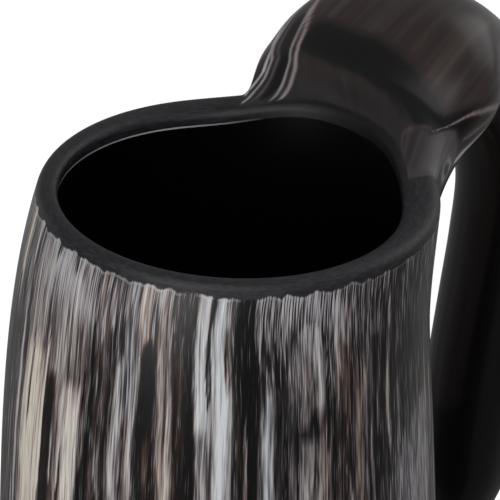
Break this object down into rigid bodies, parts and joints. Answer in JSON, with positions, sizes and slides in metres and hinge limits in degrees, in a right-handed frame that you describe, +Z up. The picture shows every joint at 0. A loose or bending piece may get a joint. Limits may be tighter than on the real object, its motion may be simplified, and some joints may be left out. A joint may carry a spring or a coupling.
{
  "type": "horn drinking tankard",
  "caption": "Drinking tankard cut from one ox horn: a tapering cup whose neck rises from the rim, arches over and comes down as the handle, with a turned wooden plug in the foot.",
  "frame": {"origin": "middle of the foot, on the plane that the tankard stands on", "axes": "+Z up along the cup, +X from the cup's middle towards the handle, +Y across the handle's plane"},
  "size_m": [0.1547, 0.098, 0.1636],
  "materials": {
    "horn": "polished ox horn, dark brown to black with cream and grey fibres",
    "plug_wood": "turned and oiled hardwood",
    "resin": "poured food-safe resin"
  },
  "bodies": {
    "root": {"horn": "horn", "base_plug": "plug_wood", "resin_seal": "resin"}
  },
  "joints": []
}
